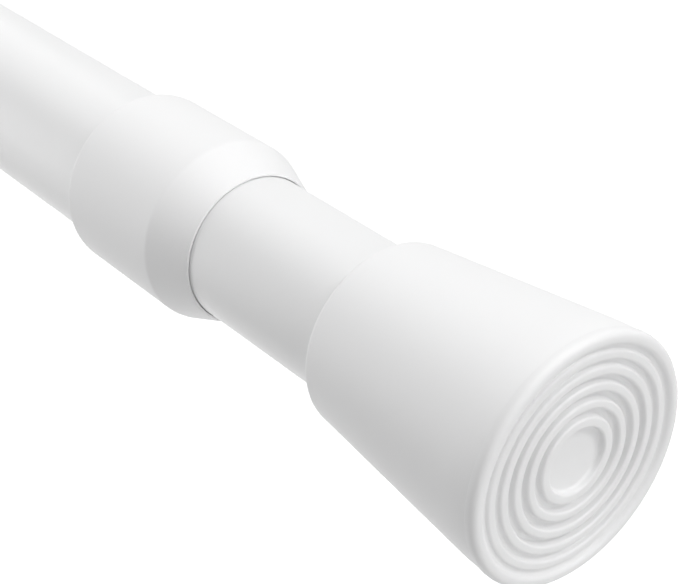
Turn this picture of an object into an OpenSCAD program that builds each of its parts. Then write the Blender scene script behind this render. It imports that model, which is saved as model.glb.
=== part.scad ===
// Spring tension rod: two telescoping steel tubes, a moulded collar, a flared foot with a soft
// ringed pad at each end, and inside them an eccentric twist lock with a compression spring.
// The rod lies along +X. The middle of the far pad's contact face is at the origin.
// All sizes are millimetres. An outline is written as [radius, place along the rod].

/* [Rod] */
// Length from pad face to pad face, tubes closed and spring relaxed
rod_length = 434; // [380:1:700]
// How far a push on the near foot presses the spring
press_in = 28; // [18:1:30]

/* [Tubes] */
// Outside diameter of the outer tube
outer_d = 24; // [22:0.1:28]
// Wall of the rolled steel tubes
tube_wall = 0.5; // [0.4:0.05:0.6]
// Radial room between the two tubes
tube_gap = 0.5; // [0.4:0.05:0.8]

/* [Collar] */
// Wall of the collar over the outer tube
collar_wall = 1.85; // [1.4:0.05:2.4]
// Length of the collar's straight part
collar_straight = 21.8; // [16:0.2:28]
// Length of the collar's long chamfer down to the inner tube
collar_chamfer = 6.9; // [5:0.1:9]
// Thickness of the lip at the collar's mouth
collar_lip = 0.25; // [0.2:0.05:0.4]
// Rounding of the collar's back edge
collar_round = 1.2; // [0.6:0.1:1.6]
// Rounding of the edge where the chamfer starts
collar_edge = 2; // [1:0.1:4]

/* [Feet] */
// Length of a foot with its pad
foot_length = 35.5; // [30:0.5:38]
// How far the foot stands out from the outer tube where it meets the pad
foot_flange = 4.7; // [4.2:0.05:6]
// Angle of the flare to the rod's axis
flare_angle = 6; // [5:0.1:6.5]
// Length over which the flare eases off before the pad
bell_length = 4; // [2:0.5:10]
// Rounding of the shell's back edge
foot_round = 1; // [0.5:0.1:1.2]
// Wall of the shell
foot_wall = 1.6; // [1.2:0.1:2]
// Wall of the sleeve that grips the tube
sleeve_wall = 1.3; // [1:0.1:1.5]
// Thickness of the web that closes the sleeve behind the pad
web_t = 2.2; // [1.6:0.1:3]
// Ribs between the sleeve and the shell
rib_count = 6; // [4:1:8]
// Thickness of a rib
rib_t = 1.2; // [0.8:0.1:1.6]

/* [Pads] */
// How far the pad stands out from the foot
pad_proud = 0.1; // [0.05:0.05:0.4]
// Thickness of the pad
pad_t = 3.4; // [3:0.1:4.5]
// Thickness of the pad's edge that shows in front of the foot, the rest sits inside the shell
pad_lip = 1.5; // [1.2:0.1:2.2]
// Rounding of the pad's edge
pad_round = 0.9; // [0.6:0.1:1.1]
// Width of the flat land on the rim, the part that bears on the wall
pad_land = 0.7; // [0.5:0.1:1.1]
// Number of raised rings on the face
ring_count = 5; // [3:1:5]
// Depth of the grooves between the rings, at the middle
ring_depth = 0.9; // [0.4:0.05:1.1]
// Share of that depth that is lost towards the rim
ring_ease = 0.3; // [0:0.05:0.5]
// How far the outermost ring sits below the rim
ring_drop = 0.3; // [0.2:0.05:0.6]
// How much further the innermost ring sits below the rim
ring_dish = 0.2; // [0:0.05:0.4]
// Radius of the round recess in the middle
recess_r = 4.4; // [3.5:0.1:5]
// Depth of that recess below the rim
recess_depth = 1.7; // [1.2:0.1:2]

/* [Spring] */
// Diameter of the spring's wire
wire_d = 1.8; // [1.2:0.1:2]
// Mean radius of the coil as a share of the inner tube's bore
coil_share = 0.625; // [0.58:0.005:0.64]
// Turns that work
active_turns = 24; // [18:1:26]
// Room left between the turns when the spring is pressed in
coil_room = 18; // [10:1:20]

/* [Lock] */
// Offset of the lock's pin from the rod's axis
eccentricity = 1; // [0.8:0.05:1.05]
// Radial gap between the shoe and the tube at rest
shoe_gap = 1.12; // [1.08:0.01:1.3]
// Length of the shoe
shoe_length = 10; // [8:0.5:12]
// Radius of the eccentric pin as a share of the outer tube's bore
pin_share = 0.39; // [0.34:0.005:0.42]
// Length of the friction ring
ring_length = 8.8; // [7:0.2:11]
// Radius of the spindle's neck under the friction ring as a share of the outer tube's bore
neck_share = 0.565; // [0.52:0.005:0.6]
// Width of the slit in the friction ring
ring_slit = 2.4; // [1.5:0.1:3]

/* [Guide rod] */
// Width across the flats of the hexagonal rod
rod_flats = 5; // [4.8:0.1:5.2]
// Diameter of the turned and threaded end
thread_d = 4; // [3.6:0.1:4.2]
// Width across the flats of the nut
nut_flats = 7; // [6.8:0.1:8]
// Thickness of the nut
nut_t = 3.2; // [2.6:0.1:4]
// Thickness of the steel washers
washer_t = 1; // [0.6:0.1:1.4]

/* [Hidden] */
$fn = 96;

// Clearances: a fixed fit, a running fit, an easy slide and the play at a shoulder
fixed_fit = 0.03;
running_fit = 0.07;
easy_fit = 0.15;
end_play = 0.15;
// One overrun for every cut
cut = 1;

// Tubes and their bores
outer_r = outer_d / 2;
outer_bore_r = outer_r - tube_wall;
inner_r = outer_bore_r - tube_gap;
inner_bore_r = inner_r - tube_wall;

// Places along the rod, from the far pad's face
plug_flange_t = 1.5;
plug_depth = 12;
socket_floor = pad_t + web_t;
tube_start = socket_floor + plug_flange_t;
stop_room = 1;
mouth_at = rod_length - foot_length - press_in - stop_room;
collar_back_at = mouth_at - collar_chamfer - collar_straight;
shoulder_inset = 0.8;
shoulder_at = mouth_at - collar_chamfer - shoulder_inset;

// The flare of a foot: an arc that starts level at the pad and runs into a straight cone
front_r = outer_r + foot_flange;
bell_r = bell_length / sin(flare_angle);
bell_end_r = front_r - bell_r * (1 - cos(flare_angle));
bell_end_at = pad_lip + bell_length;
function flare_r(at) = at < bell_end_at
    ? front_r - bell_r + sqrt(bell_r * bell_r - (at - pad_lip) * (at - pad_lip))
    : bell_end_r - (at - bell_end_at) * tan(flare_angle);

// Lock, from its far end towards the near foot
lock_clear = 9;
lock_at = tube_start + plug_depth + lock_clear;
screw_head_t = 2;
screw_head_d = 5.6;
screw_d = 3;
screw_length = 9;
screw_slot = 0.7;
screw_slot_depth = 1.1;
shoe_washer_rim = 1.5;
pin_end_at = lock_at + screw_head_t + washer_t;
flange_t = 1.5;
shoe_flange_share = 0.78;
ring_flange_share = 0.71;
flange_at = pin_end_at + shoe_length + 2 * end_play;
neck_at = flange_at + flange_t;
seat_flange_at = neck_at + ring_length + 2 * end_play;
seat_at = seat_flange_at + flange_t;
spigot_length = 8;
spigot_gap = 0.3;
rod_socket_depth = 14;
shoe_r = outer_bore_r - shoe_gap;
neck_r = outer_bore_r * neck_share;
lock_pin_r = outer_bore_r * pin_share;

// Guide bush on the inner tube's hidden end, which stays clear of the lock when pressed in
guide_head = 5;
guide_sleeve = 12;
guide_wall = 2;
guide_bore_r = inner_bore_r - fixed_fit - guide_wall;
guide_groove = 0.6;
guide_land = 1.4;
lock_room = 5;
inner_start = seat_at + washer_t + press_in + lock_room + guide_head;

// Spring, between its seat on the spindle and its washer at the stop bush
wire_r = wire_d / 2;
coil_r = inner_bore_r * coil_share;
closed_turns = 1;
closed_pitch = wire_d + fixed_fit;
seat_play = 0.05;
spring_start = seat_at + washer_t + seat_play;
spring_length = (active_turns + 2 * closed_turns + 1) * wire_d + press_in + coil_room;
spring_end = spring_start + spring_length;
coil_steps = 12;
wire_sides = 8;

// Stop bush, crimped into the inner tube, and the end of the guide rod
bush_length = 12;
bush_at = spring_end + seat_play + washer_t;
bush_end = bush_at + bush_length;
crimp_depth = 0.8;
crimp_width = 4;
crimp_slope = 0.8;
crimp_at = bush_at + (bush_length - crimp_width) / 2;
rod_start = seat_at + spigot_length - rod_socket_depth;
rod_shoulder = bush_end + end_play;
thread_spare = 1.5;
rod_end = rod_shoulder + washer_t + nut_t + thread_spare;
rod_washer_d = 10;
rod_edge = 0.4;

// Pad and its stem
pad_r = front_r + pad_proud;
pad_plug_r = front_r - foot_wall - fixed_fit;
stem_r = 3.2;
stem_head_r = 4.3;
stem_head_t = 1.2;
stem_tip_r = 2.6;
stem_tip_t = 1.4;
plug_hole_r = 5.2;
plug_wall = 1.8;
flute_r = 0.9;
flute_count = 8;
edge_steps = 6;
ring_steps = 8;

// Points of an arc, from one angle to another
function arc(centre, r, from, to, steps = edge_steps) =
    [for (i = [0:steps]) let (a = from + (to - from) * i / steps) centre + r * [cos(a), sin(a)]];

// Turns an outline about the rod's axis
module turned(points) {
    rotate([0, 90, 0])
        rotate_extrude()
            polygon(points);
}

// A round disc or sleeve on the rod's axis
module sleeve(at, length, r, bore = 0) {
    turned([[bore, at], [r, at], [r, at + length], [bore, at + length]]);
}

// A round hole along the rod, overrunning at both ends
module hole(at, length, r) {
    translate([at - cut, 0, 0])
        rotate([0, 90, 0])
            cylinder(h = length + 2 * cut, r = r);
}

// A hexagonal bar along the rod
module hex_bar(at, length, flats) {
    translate([at, 0, 0])
        rotate([0, 90, 0])
            cylinder(h = length, d = flats / cos(30), $fn = 6);
}

// Puts a piece of the far end at the near end, turned to face the other way
module at_near_end() {
    translate([rod_length, 0, 0])
        mirror([1, 0, 0])
            children();
}

// The bell at the wide end of a foot, set in by the thickness of the wall for its inside
function bell(inset) = [for (i = [0:edge_steps])
    let (at = pad_lip + bell_length * i / edge_steps)
    [flare_r(at) - inset, at]];

// The rounded back edge, tangent to the flare and to the flat back
function back_edge() =
    let (at = foot_length - foot_round,
         r = flare_r(at) - foot_round / cos(flare_angle))
    arc([r, at], foot_round, flare_angle, 90);

// The moulded foot: a flared shell round a sleeve that grips the tube, joined by ribs. The pad
// sits in its front
module foot(tube_r) {
    socket_r = tube_r + fixed_fit;
    sleeve_r = socket_r + sleeve_wall;
    meet_at = bell_end_at + (bell_end_r - foot_wall - sleeve_r - rib_t / 2) / tan(flare_angle);
    hollow_end = min(meet_at, foot_length - web_t);
    difference() {
        turned(concat([[0, pad_lip]], bell(0), back_edge(), [[0, foot_length]]));
        sleeve(pad_lip - cut, pad_t - pad_lip + cut, pad_plug_r + fixed_fit);
        difference() {
            turned(concat([[sleeve_r, pad_lip]], bell(foot_wall),
                [[flare_r(hollow_end) - foot_wall, hollow_end], [sleeve_r, hollow_end]]));
            for (i = [0:rib_count - 1])
                rotate([i * 360 / rib_count, 0, 0])
                    translate([pad_t, -rib_t / 2, 0])
                        cube([foot_length, rib_t, front_r]);
        }
        hole(socket_floor + cut, foot_length, socket_r);
        hole(pad_t, web_t, stem_r + fixed_fit);
    }
}

// Rings and grooves fill the face from the recess to the rim, the first ring edging the recess
rim_step = 0.3;
recess_edge = 0.25;
first_ring_share = 0.42;
land_out = pad_r - pad_round;
land_in = land_out - pad_land;
groove_out = land_in - rim_step;
ring_pitch = (groove_out - recess_r) / (ring_count - 1 / 2 + first_ring_share);
ring_first = recess_r + ring_pitch * first_ring_share;

// Depth of the ringed face below the rim, at a radius
function ring_face(r) =
    let (out = (r - ring_first) / (groove_out - ring_first))
    ring_drop + ring_dish * (1 - out)
    + ring_depth * (1 - ring_ease * out) * (1 - cos(360 * (r - ring_first) / ring_pitch)) / 2;

// The soft pad: a ringed face with a flat rim, and a stem that snaps through the foot's web
module pad() {
    turned(concat(
        [[0, recess_depth], [recess_r, recess_depth],
         [recess_r, ring_face(ring_first) + recess_edge],
         [recess_r + recess_edge, ring_face(ring_first)]],
        [for (i = [0:(ring_count - 1 / 2) * ring_steps])
            let (r = ring_first + i * ring_pitch / ring_steps)
            [r, ring_face(r)]],
        [[land_in, 0]],
        [for (p = arc([land_out, pad_round], pad_round, -90, 0)) p],
        [[pad_r, pad_lip], [pad_plug_r, pad_lip], [pad_plug_r, pad_t],
         [stem_r, pad_t], [stem_r, socket_floor + seat_play],
         [stem_head_r, socket_floor + seat_play],
         [stem_head_r, socket_floor + seat_play + stem_head_t],
         [stem_tip_r, socket_floor + seat_play + stem_head_t + stem_tip_t],
         [0, socket_floor + seat_play + stem_head_t + stem_tip_t]]));
}

// The plug that keeps a tube's end round: a flanged cup with shallow flutes along its wall
module plug(tube_r) {
    body_r = tube_r - tube_wall - fixed_fit;
    difference() {
        union() {
            sleeve(socket_floor, plug_flange_t, tube_r);
            sleeve(socket_floor, plug_flange_t + plug_depth, body_r);
        }
        hole(socket_floor, plug_flange_t, plug_hole_r);
        hole(tube_start + cut, plug_depth, body_r - plug_wall);
        for (i = [0:flute_count - 1])
            rotate([i * 360 / flute_count, 0, 0])
                translate([tube_start, 0, body_r + flute_r / 2])
                    rotate([0, 90, 0])
                        cylinder(h = plug_depth + cut, r = flute_r);
    }
}

module outer_tube() {
    color("white")
        sleeve(tube_start, shoulder_at - fixed_fit - tube_start, outer_r, outer_bore_r);
}

// The collar is pressed on the outer tube's end, and its long chamfer runs down to the inner tube
module collar() {
    collar_r = outer_r + collar_wall;
    mouth_r = inner_r + easy_fit;
    seat_r = outer_r + fixed_fit;
    chamfer_angle = atan((collar_r - mouth_r - collar_lip) / collar_chamfer);
    edge_at = mouth_at - collar_chamfer - collar_edge * tan(chamfer_angle / 2);
    color("white")
        turned(concat(
            [[mouth_r, mouth_at], [mouth_r, shoulder_at], [seat_r, shoulder_at],
             [seat_r, collar_back_at]],
            [for (p = arc([collar_r - collar_round, collar_back_at + collar_round],
                          collar_round, -90, 0)) p],
            [for (p = arc([collar_r - collar_edge, edge_at], collar_edge, 0, chamfer_angle)) p],
            [[mouth_r + collar_lip, mouth_at]]));
}

module far_foot() {
    color("white")
        foot(outer_r);
}

module far_pad() {
    color("whitesmoke")
        pad();
}

module far_plug() {
    color("lightgray")
        plug(outer_r);
}

// The friction ring drags on the outer tube's bore and holds the lock while the spindle turns
module friction_ring() {
    ring_r = outer_bore_r - running_fit;
    hub_r = neck_r + running_fit;
    pocket_r = (ring_r - hub_r) / 4;
    color("dimgray")
        difference() {
            sleeve(neck_at + end_play, ring_length, ring_r, hub_r);
            translate([neck_at, -ring_slit / 2, 0])
                cube([ring_length + cut, ring_slit, ring_r + cut]);
            for (i = [1:5])
                rotate([i * 60, 0, 0])
                    translate([0, 0, (ring_r + hub_r) / 2])
                        hole(neck_at + end_play, ring_length, pocket_r);
        }
}

// The spindle is one moulding: eccentric pin, two flanges with the neck between, spring spigot
module lock_spindle() {
    spigot_r = coil_r - wire_r - spigot_gap;
    color("gainsboro")
        difference() {
            union() {
                translate([0, 0, eccentricity])
                    sleeve(pin_end_at, flange_at - pin_end_at + flange_t / 2, lock_pin_r);
                sleeve(flange_at, flange_t, outer_bore_r * shoe_flange_share);
                sleeve(flange_at, seat_flange_at - flange_at + flange_t / 2, neck_r);
                sleeve(seat_flange_at, flange_t, outer_bore_r * ring_flange_share);
                sleeve(seat_flange_at, flange_t + spigot_length, spigot_r);
            }
            translate([pin_end_at - cut, 0, eccentricity])
                rotate([0, 90, 0])
                    cylinder(h = screw_length + 2 * cut, d = screw_d + 2 * fixed_fit);
            hex_bar(rod_start - fixed_fit, rod_socket_depth + cut, rod_flats + 2 * fixed_fit);
        }
}

// The shoe: round, bored off its centre, with grooves that bite on the tube when it is driven out
module lock_shoe() {
    groove_pitch = shoe_length / 4;
    groove_half = groove_pitch / 4;
    from = pin_end_at + end_play;
    color("dimgray")
        difference() {
            turned(concat(
                [[0, from]],
                [[shoe_r - groove_half, from], [shoe_r, from + groove_half]],
                [for (i = [1:3], k = [-1:1])
                    [shoe_r - (k == 0 ? groove_half : 0), from + i * groove_pitch + k * groove_half]],
                [[shoe_r, from + shoe_length - groove_half],
                 [shoe_r - groove_half, from + shoe_length], [0, from + shoe_length]]));
            translate([0, 0, eccentricity])
                hole(from, shoe_length, lock_pin_r + running_fit);
        }
}

module shoe_washer() {
    color("silver")
        translate([0, 0, eccentricity])
            sleeve(pin_end_at - washer_t, washer_t, lock_pin_r + shoe_washer_rim,
                   screw_d / 2 + easy_fit);
}

module shoe_screw() {
    head_r = screw_head_d / 2;
    crown = screw_head_t / 3;
    color("silver")
        translate([0, 0, eccentricity])
            difference() {
                union() {
                    turned([[0, lock_at], [head_r - crown, lock_at], [head_r, lock_at + crown],
                            [head_r, lock_at + screw_head_t], [0, lock_at + screw_head_t]]);
                    sleeve(lock_at + screw_head_t / 2, screw_head_t / 2 + washer_t + screw_length,
                           screw_d / 2);
                }
                for (turn = [0, 90])
                    rotate([turn, 0, 0])
                        translate([lock_at - cut, -screw_slot / 2, -screw_d / 2])
                            cube([screw_slot_depth + cut, screw_slot, screw_d]);
            }
}

// Steel washer that spreads the spring's load on the spindle's flange
module spring_seat() {
    color("silver")
        sleeve(seat_at, washer_t, coil_r + wire_r, coil_r - wire_r);
}

module guide_rod() {
    color("silver")
        union() {
            hex_bar(rod_start, rod_shoulder - rod_start, rod_flats);
            turned([[0, rod_start + cut], [thread_d / 2, rod_start + cut],
                    [thread_d / 2, rod_end - rod_edge], [thread_d / 2 - rod_edge, rod_end],
                    [0, rod_end]]);
        }
}

module rod_washer() {
    color("silver")
        sleeve(rod_shoulder, washer_t, rod_washer_d / 2, thread_d / 2 + easy_fit);
}

module rod_nut() {
    color("silver")
        difference() {
            intersection() {
                hex_bar(rod_shoulder + washer_t, nut_t, nut_flats);
                turned([[0, rod_shoulder + washer_t], [nut_flats / 2, rod_shoulder + washer_t],
                        [nut_flats / 2 / cos(30), rod_shoulder + washer_t + nut_t / 6],
                        [nut_flats / 2 / cos(30), rod_shoulder + washer_t + nut_t * 5 / 6],
                        [nut_flats / 2, rod_shoulder + washer_t + nut_t],
                        [0, rod_shoulder + washer_t + nut_t]]);
            }
            hole(rod_shoulder + washer_t, nut_t, thread_d / 2 + fixed_fit);
        }
}

// Place of the wire's centre along the rod after a number of turns
coil_turns = active_turns + 2 * closed_turns;
active_pitch = (spring_length - wire_d - 2 * closed_turns * closed_pitch) / active_turns;
function coil_at(turn) = spring_start + wire_r
    + closed_pitch * min(turn, closed_turns)
    + active_pitch * max(0, min(turn - closed_turns, active_turns))
    + closed_pitch * max(0, turn - closed_turns - active_turns);

// Point on the wire's surface, after a number of turns and at an angle round the wire
function wire_point(turn, round_angle) =
    let (r = coil_r + wire_r * cos(round_angle))
    [coil_at(turn) + wire_r * sin(round_angle), r * cos(360 * turn), r * sin(360 * turn)];

// The spring is one wire, wound with both end turns closed
module coil_spring() {
    rings = coil_turns * coil_steps;
    points = [for (i = [0:rings], j = [0:wire_sides - 1])
        wire_point(i / coil_steps, 360 * j / wire_sides)];
    walls = [for (i = [0:rings - 1], j = [0:wire_sides - 1])
        let (k = (j + 1) % wire_sides, a = i * wire_sides, b = a + wire_sides)
        [a + j, a + k, b + k, b + j]];
    first = [for (j = [wire_sides - 1:-1:0]) j];
    last = [for (j = [0:wire_sides - 1]) rings * wire_sides + j];
    color("silver")
        polyhedron(points, concat(walls, [first, last]), convexity = 10);
}

module spring_washer() {
    color("silver")
        sleeve(bush_at - washer_t, washer_t, coil_r + wire_r, rod_flats / 2 / cos(30) + easy_fit);
}

// The stop bush is crimped into the inner tube and slides on the hexagonal rod without turning
module stop_bush() {
    bush_r = inner_bore_r - fixed_fit;
    waist_r = bush_r - crimp_depth;
    color("dimgray")
        difference() {
            turned([[0, bush_at], [bush_r, bush_at], [bush_r, crimp_at],
                    [waist_r, crimp_at + crimp_slope],
                    [waist_r, crimp_at + crimp_width - crimp_slope],
                    [bush_r, crimp_at + crimp_width], [bush_r, bush_end], [0, bush_end]]);
            hex_bar(bush_at - cut, bush_length + 2 * cut, rod_flats + 2 * easy_fit);
        }
}

// The guide bush keeps the inner tube's hidden end central in the outer tube
module guide_bush() {
    head_r = outer_bore_r - running_fit;
    color("dimgray")
        turned([[guide_bore_r, inner_start - guide_head],
                [head_r, inner_start - guide_head],
                [head_r, inner_start - guide_head + guide_land],
                [head_r - guide_groove, inner_start - guide_head + guide_land],
                [head_r - guide_groove, inner_start - guide_land],
                [head_r, inner_start - guide_land], [head_r, inner_start],
                [inner_bore_r - fixed_fit, inner_start],
                [inner_bore_r - fixed_fit, inner_start + guide_sleeve],
                [guide_bore_r, inner_start + guide_sleeve]]);
}

// The inner tube, with the ring groove that is rolled into it to hold the stop bush
module inner_tube() {
    last = rod_length - tube_start;
    sunk = crimp_depth;
    function wall_line(r) = [[r, inner_start], [r, crimp_at], [r - sunk, crimp_at + crimp_slope],
        [r - sunk, crimp_at + crimp_width - crimp_slope], [r, crimp_at + crimp_width], [r, last]];
    inside = wall_line(inner_bore_r);
    color("white")
        turned(concat(wall_line(inner_r), [for (i = [len(inside) - 1:-1:0]) inside[i]]));
}

module near_plug() {
    color("lightgray")
        at_near_end()
            plug(inner_r);
}

module near_foot() {
    color("white")
        at_near_end()
            foot(inner_r);
}

module near_pad() {
    color("whitesmoke")
        at_near_end()
            pad();
}

outer_tube();
collar();
far_foot();
far_pad();
far_plug();
friction_ring();
lock_spindle();
lock_shoe();
shoe_washer();
shoe_screw();
spring_seat();
guide_rod();
rod_washer();
rod_nut();
coil_spring();
spring_washer();
stop_bush();
guide_bush();
inner_tube();
near_plug();
near_foot();
near_pad();
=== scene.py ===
# Spring tension rod, dressed for the camera: white powder-coated tubes, moulded white collar and
# feet, soft ringed pads, and the twist lock, spring and guide rod that work inside the tubes.
# Places and radii are millimetres along and from the rod's axis, as in the part's source.
import math
import bmesh
import bpy
from mathutils import Matrix, Vector


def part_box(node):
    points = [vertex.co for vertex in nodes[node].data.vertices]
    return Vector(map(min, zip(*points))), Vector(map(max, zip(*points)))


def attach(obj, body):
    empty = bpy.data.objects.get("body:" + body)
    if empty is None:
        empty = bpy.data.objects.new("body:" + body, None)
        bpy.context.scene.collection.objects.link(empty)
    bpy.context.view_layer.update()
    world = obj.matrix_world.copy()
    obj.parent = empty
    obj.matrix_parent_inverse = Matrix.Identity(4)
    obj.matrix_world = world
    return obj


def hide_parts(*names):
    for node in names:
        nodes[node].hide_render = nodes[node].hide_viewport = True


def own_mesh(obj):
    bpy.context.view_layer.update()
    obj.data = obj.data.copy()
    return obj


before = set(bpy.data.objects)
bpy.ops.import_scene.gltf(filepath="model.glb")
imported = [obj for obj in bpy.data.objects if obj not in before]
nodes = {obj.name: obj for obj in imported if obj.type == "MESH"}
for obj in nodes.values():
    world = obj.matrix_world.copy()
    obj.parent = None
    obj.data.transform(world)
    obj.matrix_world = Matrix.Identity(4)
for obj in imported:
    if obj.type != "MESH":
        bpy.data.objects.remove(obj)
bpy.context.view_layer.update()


# ---- Camera ------------------------------------------------------------------------------------
# The photo looks down on the near foot from beside it, close enough that the rod runs out of the
# frame at the upper left. The place and the angle come from a fit to the outline in the photo.
camera = bpy.data.objects.new("camera", bpy.data.cameras.new("camera"))
camera.data.lens = 86.12
camera.data.sensor_width = 36
camera.data.clip_start = 0.01
camera.data.clip_end = 20
camera.location = (0.53502, -0.11527, 0.11224)
camera.rotation_euler = (math.radians(59.363), 0, math.radians(51.698))
bpy.context.collection.objects.link(camera)
bpy.context.scene.camera = camera
bpy.context.scene.view_settings.view_transform = "Standard"


# ---- Floor, world and lamps --------------------------------------------------------------------
# The rod is shown held up by nothing, well clear of a white ground that is brightened only for
# the camera. A broad soft box hangs overhead, three more fill in along the far end and its side,
# and five stand round the near end. The dim world and the pale ground lift the shade.
class Channel:
    """An output socket in a finish. Arithmetic on it adds the Math nodes."""

    def __init__(self, finish, socket):
        self.finish = finish
        self.socket = socket

    def maths(self, operation, *values):
        return self.finish.add("ShaderNodeMath", {"operation": operation}, dict(enumerate(values)))

    def __add__(self, other):
        return self.maths("ADD", self, other)

    def __mul__(self, other):
        return self.maths("MULTIPLY", self, other)

    __radd__ = __add__
    __rmul__ = __mul__

    def larger(self, other):
        return self.maths("MAXIMUM", self, other)


class Finish:
    """A material, or the world, that is put together node by node."""

    def __init__(self, name, owner=None):
        self.owner = owner or bpy.data.materials.new(name)
        self.owner.use_nodes = True
        self.tree = self.owner.node_tree
        self.tree.nodes.clear()

    def add(self, kind, settings=None, inputs=None, output=0):
        node = self.tree.nodes.new(kind)
        for name, value in (settings or {}).items():
            setattr(node, name, value)
        for name, value in (inputs or {}).items():
            if isinstance(value, Channel):
                self.tree.links.new(value.socket, node.inputs[name])
            else:
                node.inputs[name].default_value = value
        return Channel(self, node.outputs[output]) if node.outputs else None

    def seen(self):
        """1 where the camera, a reflection or a view through glass meets the surface."""
        ray = [self.add("ShaderNodeLightPath", output=name)
               for name in ("Is Camera Ray", "Is Glossy Ray", "Is Transmission Ray")]
        return ray[0].larger(ray[1]).larger(ray[2])


def tint(finish, amount, dark, light):
    """A colour that drifts between two shades by an amount from 0 to 1."""
    return finish.add("ShaderNodeMix", {"data_type": "RGBA"},
                      {0: amount, 6: dark + (1,), 7: light + (1,)}, output=2)


lift_near, lift_far = (0.66, 0.66, 0.66), (0.9, 0.9, 0.9)
lift_starts, lift_ends = 0.7, 2
ground = Finish("ground")
pale = ground.add("ShaderNodeBsdfDiffuse", None, {"Color": (0.82, 0.82, 0.82, 1)})
distance = ground.add("ShaderNodeVectorMath", {"operation": "LENGTH"}, {
    0: ground.add("ShaderNodeTexCoord", output="Object")}, output="Value")
outskirts = ground.add("ShaderNodeMapRange", None, {
    "Value": distance, "From Min": lift_starts, "From Max": lift_ends})
bright = ground.add("ShaderNodeEmission", None, {
    "Color": tint(ground, outskirts, lift_near, lift_far)})
shadow_kept = ground.add("ShaderNodeAddShader", None, {0: pale, 1: bright})
ground.add("ShaderNodeOutputMaterial", None, {"Surface": ground.add(
    "ShaderNodeMixShader", None, {0: ground.seen(), 1: pale, 2: shadow_kept})})

floor_middle, floor_reach = (0.2, 0, -0.35), 12
floor_mesh = bpy.data.meshes.new("floor")
plane = bmesh.new()
bmesh.ops.create_grid(plane, x_segments=1, y_segments=1, size=floor_reach)
bmesh.ops.translate(plane, verts=plane.verts, vec=floor_middle)
plane.to_mesh(floor_mesh)
plane.free()
floor = bpy.data.objects.new("floor", floor_mesh)
floor.data.materials.append(ground.owner)
bpy.context.collection.objects.link(floor)

sky = Finish("sky", bpy.data.worlds.new("sky"))
dim = sky.add("ShaderNodeBackground", None, {"Color": (1, 1, 1, 1), "Strength": 0.19})
white = sky.add("ShaderNodeBackground", None, {"Color": (1, 1, 1, 1), "Strength": 1})
sky.add("ShaderNodeOutputWorld", None, {"Surface": sky.add(
    "ShaderNodeMixShader", None, {0: sky.seen(), 1: dim, 2: white})})
bpy.context.scene.world = sky.owner

# Each soft box has its place and the point it faces, both in metres, its side and its watts.
soft_boxes = {
    "overhead": ((0.3, 0, 1.2), (0.3, 0, 0), 1.0, 7.2),
    "far_top": ((-0.6, 0.1, 0.5), (0.1, 0, 0), 0.8, 1.65),
    "far_side": ((-0.2, -0.33, 0), (0.15, 0, 0), 0.3, 0.72),
    "far_low": ((0.05, -0.2, -0.12), (0.2, 0, 0), 0.15, 0.13),
    "end_front": ((1.4, 0, 0.2), (0.42, 0, 0), 0.8, 2.35),
    "end_right": ((1.2, 0.7, 0.3), (0.42, 0, 0), 0.6, 0.9),
    "end_top": ((0.9, 0.1, 0.7), (0.434, 0, 0), 0.3, 1.2),
    "end_glint": ((0.9, 0.42, 0.67), (0.434, 0, 0), 0.15, 1.5),
    "end_left": ((0.65, -0.55, 0.75), (0.4, 0, 0), 0.4, 0.75)}
for name, (place, aim, side, watts) in soft_boxes.items():
    lamp = bpy.data.objects.new(name, bpy.data.lights.new(name, "AREA"))
    lamp.data.shape = "SQUARE"
    lamp.data.size = side
    lamp.data.energy = watts
    lamp.location = place
    lamp.rotation_euler = (Vector(aim) - Vector(place)).to_track_quat("-Z", "Y").to_euler()
    lamp.visible_camera = False
    bpy.context.collection.objects.link(lamp)


# ---- Outer tube --------------------------------------------------------------------------------
# Rolled steel tube with a white powder coat. Its far end sits in the far foot's sleeve, the near
# end in the collar. The coat melts into a faint orange peel and is a little glossier than the
# mouldings.
MM = 0.001
STEPS_ROUND = 192
FINE_EDGE, FINE_SEGMENTS, SOFT_SEGMENTS = 0.2, 3, 6
SAME_POINT = 1e-7
REAL_CORNER = math.radians(35)


def span(node):
    """Where a CAD node starts and ends along the rod, and its radius."""
    low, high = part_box(node)
    return low[0] / MM, high[0] / MM, high[1] / MM


def lathe(name, outline, closed=True):
    """Spins an outline of (place, radius, rounding) about the rod's axis, its corners rounded."""
    shape = bmesh.new()
    corners = [shape.verts.new((at * MM, 0, radius * MM)) for at, radius, _ in outline]
    for a, b in zip(corners, corners[1:] + corners[:1] if closed else corners[1:]):
        shape.edges.new((a, b))
    for corner, (_, _, rounding) in zip(corners, outline):
        if rounding:
            bmesh.ops.bevel(shape, geom=[corner], offset=rounding * MM, offset_type="OFFSET",
                            segments=FINE_SEGMENTS if rounding < FINE_EDGE else SOFT_SEGMENTS,
                            profile=0.5, affect="VERTICES", material=-1)
    bmesh.ops.spin(shape, geom=shape.verts[:] + shape.edges[:], cent=(0, 0, 0), axis=(1, 0, 0),
                   angle=2 * math.pi, steps=STEPS_ROUND, use_merge=True)
    bmesh.ops.remove_doubles(shape, verts=shape.verts, dist=SAME_POINT)
    bmesh.ops.recalc_face_normals(shape, faces=shape.faces)
    return finished(name, shape)


def finished(name, shape):
    """A smooth object from a bmesh, sharp only at real corners."""
    mesh = bpy.data.meshes.new(name)
    shape.to_mesh(mesh)
    shape.free()
    mesh.polygons.foreach_set("use_smooth", [True] * len(mesh.polygons))
    mesh.set_sharp_from_angle(angle=REAL_CORNER)
    piece = bpy.data.objects.new(name, mesh)
    bpy.context.collection.objects.link(piece)
    level = piece.modifiers.new("even_shading", "WEIGHTED_NORMAL")
    level.keep_sharp = True
    return piece


def fit_out(piece, finish, body, slot, *replaced):
    """Gives a new piece its finish, the body it rides on and the nodes it stands for."""
    piece.data.materials.append(finish.owner)
    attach(piece, body)
    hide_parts(*replaced)


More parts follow.
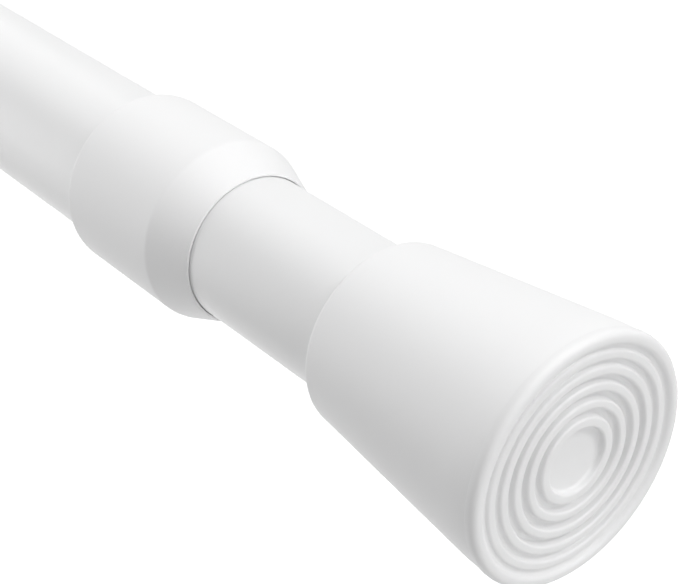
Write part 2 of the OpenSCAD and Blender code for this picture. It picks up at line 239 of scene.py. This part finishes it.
def grain(finish, scale, detail=2.0, stretch=(1, 1, 1)):
    """Even noise on the piece's own metres, stretched along an axis for drawn or brushed lines."""
    place = finish.add("ShaderNodeTexCoord", output="Object")
    turned = finish.add("ShaderNodeMapping", None, {"Vector": place, "Scale": stretch})
    return finish.add("ShaderNodeTexNoise", None,
                      {"Vector": turned, "Scale": scale, "Detail": detail, "Roughness": 0.55})


def surface(finish, colour, roughness, relief, depth, metallic=0.0):
    """A Principled surface over a relief of the given depth in millimetres."""
    bump = finish.add("ShaderNodeBump", None,
                      {"Strength": 1.0, "Distance": depth * MM, "Height": relief})
    finish.add("ShaderNodeOutputMaterial", None, {"Surface": finish.add(
        "ShaderNodeBsdfPrincipled", None, {"Base Color": colour, "Roughness": roughness,
                                           "Metallic": metallic, "Normal": bump})})


powder_coat = Finish("powder_coat")
peel = grain(powder_coat, scale=900)
thickness = grain(powder_coat, scale=45, detail=1.0)
surface(powder_coat, tint(powder_coat, thickness, (0.856, 0.857, 0.859), (0.872, 0.873, 0.874)),
        roughness=0.34 + peel * 0.08, relief=peel + thickness * 2, depth=0.012)

start, end, radius = span("outer_tube")
tube_wall, bore_edge, outer_edge = 0.5, 0.08, 0.12
outer_tube = lathe("outer_tube_coated", [
    (start, radius - tube_wall, bore_edge), (start, radius, outer_edge),
    (end, radius, outer_edge), (end, radius - tube_wall, bore_edge)])
fit_out(outer_tube, powder_coat, "outer", "coated_tube", "outer_tube")


# ---- Inner tube --------------------------------------------------------------------------------
# The same tube stock one size down. A ring groove is rolled into it over the stop bush, so its
# corners are soft where the steel was drawn in.
start, end, radius = span("inner_tube")
bush_start, bush_end, _ = span("stop_bush")
groove, groove_depth, groove_slope, drawn_edge = 4, 0.8, 0.8, 0.35
groove_at = (bush_start + bush_end - groove) / 2


def rolled_line(r):
    return [(groove_at, r, drawn_edge), (groove_at + groove_slope, r - groove_depth, drawn_edge),
            (groove_at + groove - groove_slope, r - groove_depth, drawn_edge),
            (groove_at + groove, r, drawn_edge)]


bore = radius - tube_wall
inner_tube = lathe("inner_tube_coated",
                   [(start, bore, bore_edge), (start, radius, outer_edge)] + rolled_line(radius)
                   + [(end, radius, outer_edge), (end, bore, bore_edge)] + rolled_line(bore)[::-1])
fit_out(inner_tube, powder_coat, "inner", "coated_tube", "inner_tube")


# ---- Collar ------------------------------------------------------------------------------------
# One white moulding pressed over the outer tube's end. A long chamfer runs down to a thin lip
# that leaves a hair's breadth round the inner tube, and its edges are softly rounded.
moulded_white = Finish("moulded_white")
fine_texture = grain(moulded_white, scale=3800, detail=3.0)
flow = grain(moulded_white, scale=60, detail=1.0)
surface(moulded_white, tint(moulded_white, flow, (0.886, 0.886, 0.888), (0.902, 0.902, 0.904)),
        roughness=0.46 + fine_texture * 0.1, relief=fine_texture, depth=0.006)

start, end, radius = span("collar")
_, tube_end, tube_radius = span("outer_tube")
hairs_breadth, press_fit = 0.1, 0.03
mouth_radius = span("inner_tube")[2] + hairs_breadth
socket_radius = tube_radius + press_fit
chamfer, lip = 6.9, 0.3
collar = lathe("collar_moulded", [
    (end, mouth_radius, 0.06), (tube_end, mouth_radius, 0), (tube_end, socket_radius, 0),
    (start, socket_radius, 0.1), (start, radius, 1.2), (end - chamfer, radius, 0.35),
    (end, mouth_radius + lip, 0.1)])
fit_out(collar, moulded_white, "outer", "moulded_white", "collar")


# ---- Feet --------------------------------------------------------------------------------------
# Each foot is one white moulding: a flared shell, open at the wide end for the pad, round a
# sleeve that grips the tube, with a web behind the pad and six ribs between sleeve and shell.
# Its own measures run back from the pad's face.
near_face = span("near_pad")[1]
foot_length, front = 35.5, span("outer_tube")[2] + 4.7
pad_lip, bell_at, pad_back, web_back = 1.5, 3.5, 3.4, 5.6
shell_wall, sleeve_wall = 1.6, 1.3
rib_count, rib, rib_bite = 6, 1.2, 0.3
flare = math.radians(6)
stem_hole = 3.23


def shell(at, inset=0.0):
    """The flared shell's radius, or its hollow's with the wall as inset."""
    return front - inset - max(0, at - bell_at) * math.tan(flare)


def foot(name, tube_radius, place):
    """A foot for a tube. Place turns a measure from the pad's face into one along the rod."""
    socket = tube_radius + press_fit
    sleeve = socket + sleeve_wall
    hollow_end = bell_at + (shell(bell_at) - shell_wall - sleeve - rib / 2) / math.tan(flare)
    moulding = lathe(name, [(place(at), r, rounding) for at, r, rounding in [
        (pad_lip, front, 0.05), (bell_at, front, 1.8), (foot_length, shell(foot_length), 0.9),
        (foot_length, socket, 0.12), (web_back, socket, 0.2), (web_back, stem_hole, 0.1),
        (pad_back, stem_hole, 0.1), (pad_back, sleeve, 0.1), (hollow_end, sleeve, 0.3),
        (hollow_end, shell(hollow_end, shell_wall), 0.3), (bell_at, front - shell_wall, 0.5),
        (pad_lip, front - shell_wall, 0.1)]])
    ribs = bmesh.new()
    ribs.from_mesh(moulding.data)
    for turn in range(rib_count):
        one = bmesh.ops.create_cube(ribs, size=1)["verts"]
        for corner in one:
            at = pad_back if corner.co.x < 0 else hollow_end + rib_bite
            r = sleeve - rib_bite if corner.co.z < 0 else shell(at, shell_wall) + rib_bite
            corner.co = Vector((place(at), corner.co.y * rib, r)) * MM
        if place(1) < place(0):
            bmesh.ops.reverse_faces(ribs, faces=list({f for v in one for f in v.link_faces}))
        bmesh.ops.rotate(ribs, verts=one, cent=(0, 0, 0),
                         matrix=Matrix.Rotation(math.radians(360 / rib_count * turn), 3, "X"))
    ribs.to_mesh(moulding.data)
    ribs.free()
    return moulding


near_foot = foot("near_foot_moulded", span("inner_tube")[2], lambda at: near_face - at)
fit_out(near_foot, moulded_white, "inner", "moulded_white", "near_foot")
far_foot = foot("far_foot_moulded", span("outer_tube")[2], lambda at: at)
fit_out(far_foot, moulded_white, "outer", "moulded_white", "far_foot")


# ---- Pads --------------------------------------------------------------------------------------
# Soft white rubber, moulded with five raised rings round a recess and a rounded rim that stands
# proud and takes the wall. A stem on its back snaps through the foot's web.
soft_rubber = Finish("soft_rubber")
bloom = grain(soft_rubber, scale=2600, detail=3.0)
wear = grain(soft_rubber, scale=120)
surface(soft_rubber, tint(soft_rubber, wear, (0.858, 0.858, 0.86), (0.878, 0.878, 0.88)),
        roughness=0.42 + bloom * 0.1, relief=bloom, depth=0.006)

recess, recess_floor, rim_width = 4.4, 1.4, 1.6
crest_edge, groove_edge, flank, rim_flank = 0.3, 0.24, 0.14, 0.3
spigot, stem, barb, tip = 15.07, 3.2, 4.3, 2.6
barb_at, barb_end, tip_at = web_back + 0.05, web_back + 1.25, web_back + 2.65
# Each ring's middle radius, half its width, its top, and the floor of the groove outside it.
rings = [(5.08, 0.66, 0.5, 1.4), (7.4, 0.56, 0.46, 1.4), (9.6, 0.56, 0.42, 1.3),
         (11.7, 0.56, 0.36, 1.05), (13.72, 0.55, 0.3, 0.75)]


def pad_outline(radius):
    """From the recess over the rings and the rim to the barb on the back."""
    rim_in = radius - rim_width
    next_feet = [crest - half - flank for crest, half, _, _ in rings[1:]] + [rim_in - rim_flank]
    line = [(recess_floor, 0, 0), (recess_floor, recess, 0.35)]
    for (crest, half, top, groove_floor), next_foot in zip(rings, next_feet):
        line += [(top, crest - half, crest_edge), (top, crest + half, crest_edge),
                 (groove_floor, crest + half + flank, groove_edge),
                 (groove_floor, next_foot, groove_edge)]
    return line + [(0, rim_in, 0.4), (0, radius, 0.9), (pad_lip, radius, 0.05),
                   (pad_lip, spigot, 0), (pad_back, spigot, 0.2), (pad_back, stem, 0),
                   (barb_at, stem, 0), (barb_at, barb, 0.15), (barb_end, barb, 0.2),
                   (tip_at, tip, 0.3), (tip_at, 0, 0)]


for name, node, body, place in (
        ("near_pad_soft", "near_pad", "inner", lambda at: near_face - at),
        ("far_pad_soft", "far_pad", "outer", lambda at: at)):
    pad = lathe(name, [(place(at), r, rounding)
                       for at, r, rounding in pad_outline(span(node)[2])], closed=False)
    fit_out(pad, soft_rubber, body, "soft_pad", node)


# ---- Plugs -------------------------------------------------------------------------------------
# A fluted plug of natural plastic in each tube's outer end keeps the thin steel round where the
# foot's sleeve grips it. Both are plain mouldings, so the solids keep their own shape.
def dress(finish, *names):
    """Gives CAD nodes, whose shape is right as it is, a finish."""
    for name in names:
        nodes[name].material_slots[0].material = finish.owner


plug_plastic = Finish("plug_plastic")
haze = grain(plug_plastic, scale=300)
surface(plug_plastic, tint(plug_plastic, haze, (0.69, 0.69, 0.68), (0.75, 0.75, 0.735)),
        roughness=0.42 + haze * 0.1, relief=grain(plug_plastic, scale=3000), depth=0.005)
dress(plug_plastic, "far_plug", "near_plug")


# ---- Twist lock --------------------------------------------------------------------------------
# Turning the rod turns the grey spindle in the dark friction ring, and its eccentric pin drives
# the grooved shoe against the outer tube's bore. A screw and a washer keep the shoe on its pin.
lock_plastic = Finish("lock_plastic")
rubbed = grain(lock_plastic, scale=420, detail=3.0)
surface(lock_plastic, tint(lock_plastic, rubbed, (0.1, 0.1, 0.108), (0.14, 0.14, 0.15)),
        roughness=0.36 + rubbed * 0.2, relief=grain(lock_plastic, scale=3400), depth=0.008)
dress(lock_plastic, "friction_ring", "lock_shoe", "stop_bush", "guide_bush")

spindle_plastic = Finish("spindle_plastic")
fibres = grain(spindle_plastic, scale=1500, detail=3.0, stretch=(0.15, 1, 1))
surface(spindle_plastic, tint(spindle_plastic, fibres, (0.5, 0.51, 0.52), (0.6, 0.61, 0.62)),
        roughness=0.4 + fibres * 0.16, relief=fibres, depth=0.006)
dress(spindle_plastic, "lock_spindle")


# ---- Spring and guide rod ----------------------------------------------------------------------
# A compression spring of oiled wire with closed end turns sits between a washer on the spindle
# and one at the stop bush. The drawn hexagonal rod runs through it and ends in a washer and nut.
plated_steel = Finish("plated_steel")
crystals = grain(plated_steel, scale=700, detail=4.0)
surface(plated_steel, tint(plated_steel, crystals, (0.62, 0.635, 0.65), (0.7, 0.705, 0.71)),
        roughness=0.22 + crystals * 0.2, relief=crystals, depth=0.004, metallic=1.0)
dress(plated_steel, "shoe_washer", "shoe_screw", "spring_seat", "rod_washer", "rod_nut",
      "spring_washer")

drawn_steel = Finish("drawn_steel")
die_lines = grain(drawn_steel, scale=2600, detail=3.0, stretch=(0.012, 1, 1))
surface(drawn_steel, tint(drawn_steel, die_lines, (0.5, 0.51, 0.52), (0.6, 0.61, 0.62)),
        roughness=0.24 + die_lines * 0.22, relief=die_lines, depth=0.01, metallic=1.0)
dress(drawn_steel, "guide_rod")

spring_steel = Finish("spring_steel")
oil = grain(spring_steel, scale=260, detail=3.0)
surface(spring_steel, tint(spring_steel, oil, (0.36, 0.37, 0.38), (0.54, 0.55, 0.56)),
        roughness=0.2 + oil * 0.25, relief=grain(spring_steel, scale=3000), depth=0.004,
        metallic=1.0)

wire_radius, wire_sides = 0.9, 14
active_turns, closed_pitch, turn_steps = 24, 1.83, 40
start, end, outside = span("coil_spring")
active_pitch = (end - start - 2 * wire_radius - 2 * closed_pitch) / active_turns
coil = bmesh.new()
bmesh.ops.create_circle(coil, cap_ends=False, segments=wire_sides, radius=wire_radius * MM)
bmesh.ops.translate(coil, verts=coil.verts,
                    vec=Vector((start + wire_radius, outside - wire_radius, 0)) * MM)
wire = coil.verts[:] + coil.edges[:]
for turns, pitch in ((1, closed_pitch), (active_turns, active_pitch), (1, closed_pitch)):
    wire = bmesh.ops.spin(coil, geom=wire, cent=(0, 0, 0), axis=(1, 0, 0),
                          dvec=(pitch / turn_steps * MM, 0, 0), angle=2 * math.pi * turns,
                          steps=turns * turn_steps)["geom_last"]
bmesh.ops.holes_fill(coil, edges=[edge for edge in coil.edges if edge.is_boundary], sides=0)
bmesh.ops.recalc_face_normals(coil, faces=coil.faces)
spring = finished("coil_spring_wound", coil)
fit_out(spring, spring_steel, "spindle", "spring_steel", "coil_spring")
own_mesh(spring)
